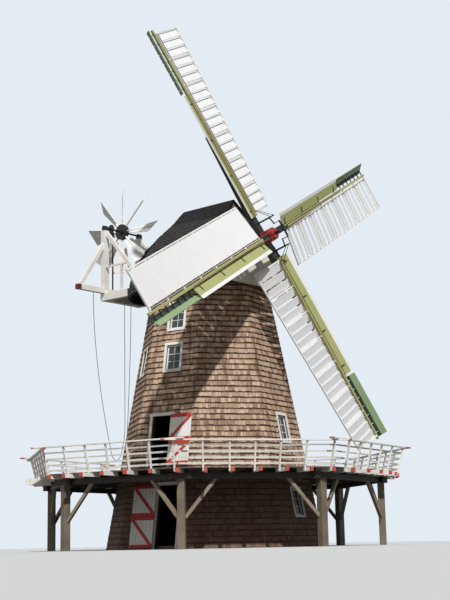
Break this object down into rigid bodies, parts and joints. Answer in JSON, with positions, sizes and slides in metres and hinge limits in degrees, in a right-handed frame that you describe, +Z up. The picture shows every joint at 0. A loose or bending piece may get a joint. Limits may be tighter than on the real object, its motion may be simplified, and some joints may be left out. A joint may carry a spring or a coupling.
{
  "type": "windmill",
  "caption": "Shingled octagonal smock mill on the ground with a railed gallery on posts, a turning cap with a hollow-hipped rear, a fantail and shuttered sails that turn.",
  "frame": {"origin": "on the tower's axis at ground level", "axes": "+Z up; the two doorways are in the wall that faces -Y; the sails face mostly +X"},
  "size_m": [14.1576, 16.792, 19.7054],
  "materials": {
    "shingle": "weathered split shingles",
    "white_paint": "white painted timber",
    "weathered_timber": "bare grey-brown timber",
    "deck_boards": "bare weathered boards",
    "cap_shingle": "dark tarred shingles",
    "glass": "old window glass",
    "door_paint": "grey-white and dark red paint",
    "inner_boards": "bare boards",
    "iron": "black painted iron",
    "red_iron": "dark red painted iron",
    "shutter_paint": "white painted",
    "olive_paint": "light olive green paint",
    "green_paint": "grey-green paint",
    "rope": "weathered rope"
  },
  "bodies": {
    "tower": {"back_wall": "shingle", "balusters": "white_paint", "corner_beams": "weathered_timber", "curb_ring": "weathered_timber", "door_casings": "white_paint", "door_hinges": "iron", "door_wall_band": "shingle", "door_wall_low": "shingle", "door_wall_stage": "shingle", "door_wall_top": "shingle", "floors": "inner_boards", "gallery_braces": "weathered_timber", "gallery_deck": "deck_boards", "gallery_joists": "white_paint", "gallery_posts": "weathered_timber", "gallery_rails": "white_paint", "one_window_walls": "shingle", "plain_walls": "shingle", "ring_beams": "weathered_timber", "two_window_walls": "shingle", "window_frames": "white_paint", "window_panes": "glass"},
    "cap": {"cap_roof": "cap_shingle", "front_wall": "white_paint", "cap_ring": "weathered_timber", "cap_beams": "white_paint", "shaft_bearings": "iron", "outrigger": "white_paint", "fan_stage_floor": "deck_boards", "fan_posts": "white_paint", "fan_stays": "white_paint", "stage_rails": "white_paint", "fan_bearings": "iron", "drive_shaft": "iron", "winding_rope": "rope", "brake_rope": "rope", "rope_holders": "iron"},
    "sails": {"windshaft": "red_iron", "stocks": "olive_paint", "whips": "olive_paint", "sail_frames": "white_paint", "shutters": "shutter_paint", "leading_boards": "olive_paint", "spider": "iron", "links": "iron", "sail_rods": "red_iron", "sail_irons": "iron", "cross_shafts": "iron"},
    "fantail": {"fan_hub": "iron", "fan_stocks": "white_paint", "fan_vanes": "white_paint"},
    "lower_leaf": {"lower_door_leaf": "door_paint"},
    "upper_leaf": {"upper_door_leaf": "door_paint"},
    "stage_low_leaf": {"stage_low_leaf": "door_paint"},
    "stage_high_leaf": {"stage_high_leaf": "door_paint"},
    "air_brake_a": {"air_brake_1": "green_paint"},
    "air_brake_b": {"air_brake_2": "green_paint"},
    "air_brake_c": {"air_brake_3": "green_paint"},
    "air_brake_d": {"air_brake_4": "green_paint"}
  },
  "joints": [
    {"name": "cap_turn", "type": "hinge", "parent": "tower", "child": "cap", "pos_m": [0, 0, 9.93], "axis": [0, 0, 1], "continuous": true},
    {"name": "sails_turn", "type": "hinge", "parent": "cap", "child": "sails", "pos_m": [2.86457, -0.48296, 11.511], "axis": [0.96, -0.1619, 0.2284], "continuous": true},
    {"name": "fantail_turn", "type": "hinge", "parent": "cap", "child": "fantail", "pos_m": [-4.80222, 0.80965, 13.14], "axis": [0.1663, 0.9861, 0], "continuous": true},
    {"name": "lower_leaf_hinge", "type": "hinge", "parent": "tower", "child": "lower_leaf", "pos_m": [-0.125, -3.82199, 0.61648], "axis": [0, 0.1734, 0.9848], "range_deg": [0, 180]},
    {"name": "upper_leaf_hinge", "type": "hinge", "parent": "tower", "child": "upper_leaf", "pos_m": [-0.125, -3.62827, 1.71648], "axis": [0, 0.1734, 0.9848], "range_deg": [0, 180]},
    {"name": "stage_low_leaf_hinge", "type": "hinge", "parent": "tower", "child": "stage_low_leaf", "pos_m": [0.205, -3.34649, 3.31648], "axis": [0, -0.1734, -0.9848], "range_deg": [0, 180]},
    {"name": "stage_high_leaf_hinge", "type": "hinge", "parent": "tower", "child": "stage_high_leaf", "pos_m": [0.205, -3.17038, 4.31648], "axis": [0, -0.1734, -0.9848], "range_deg": [0, 180]},
    {"name": "air_brake_a_hinge", "type": "hinge", "parent": "sails", "child": "air_brake_a", "pos_m": [1.16972, -3.56048, 16.63026], "axis": [-0.2777, -0.4485, 0.8495], "range_deg": [-45, 45]},
    {"name": "air_brake_b_hinge", "type": "hinge", "parent": "sails", "child": "air_brake_b", "pos_m": [3.06513, -5.83966, 8.3598], "axis": [-0.0351, -0.879, -0.4756], "range_deg": [-45, 45]},
    {"name": "air_brake_c_hinge", "type": "hinge", "parent": "sails", "child": "air_brake_c", "pos_m": [4.63623, 2.5816, 6.41], "axis": [0.2777, 0.4485, -0.8495], "range_deg": [-45, 45]},
    {"name": "air_brake_d_hinge", "type": "hinge", "parent": "sails", "child": "air_brake_d", "pos_m": [3.31683, 4.76367, 14.81747], "axis": [0.0351, 0.879, 0.4756], "range_deg": [-45, 45]}
  ],
  "couplings": [
    {"joint": "air_brake_b_hinge", "follows": "air_brake_a_hinge", "ratio": 1},
    {"joint": "air_brake_c_hinge", "follows": "air_brake_a_hinge", "ratio": 1},
    {"joint": "air_brake_d_hinge", "follows": "air_brake_a_hinge", "ratio": 1}
  ]
}
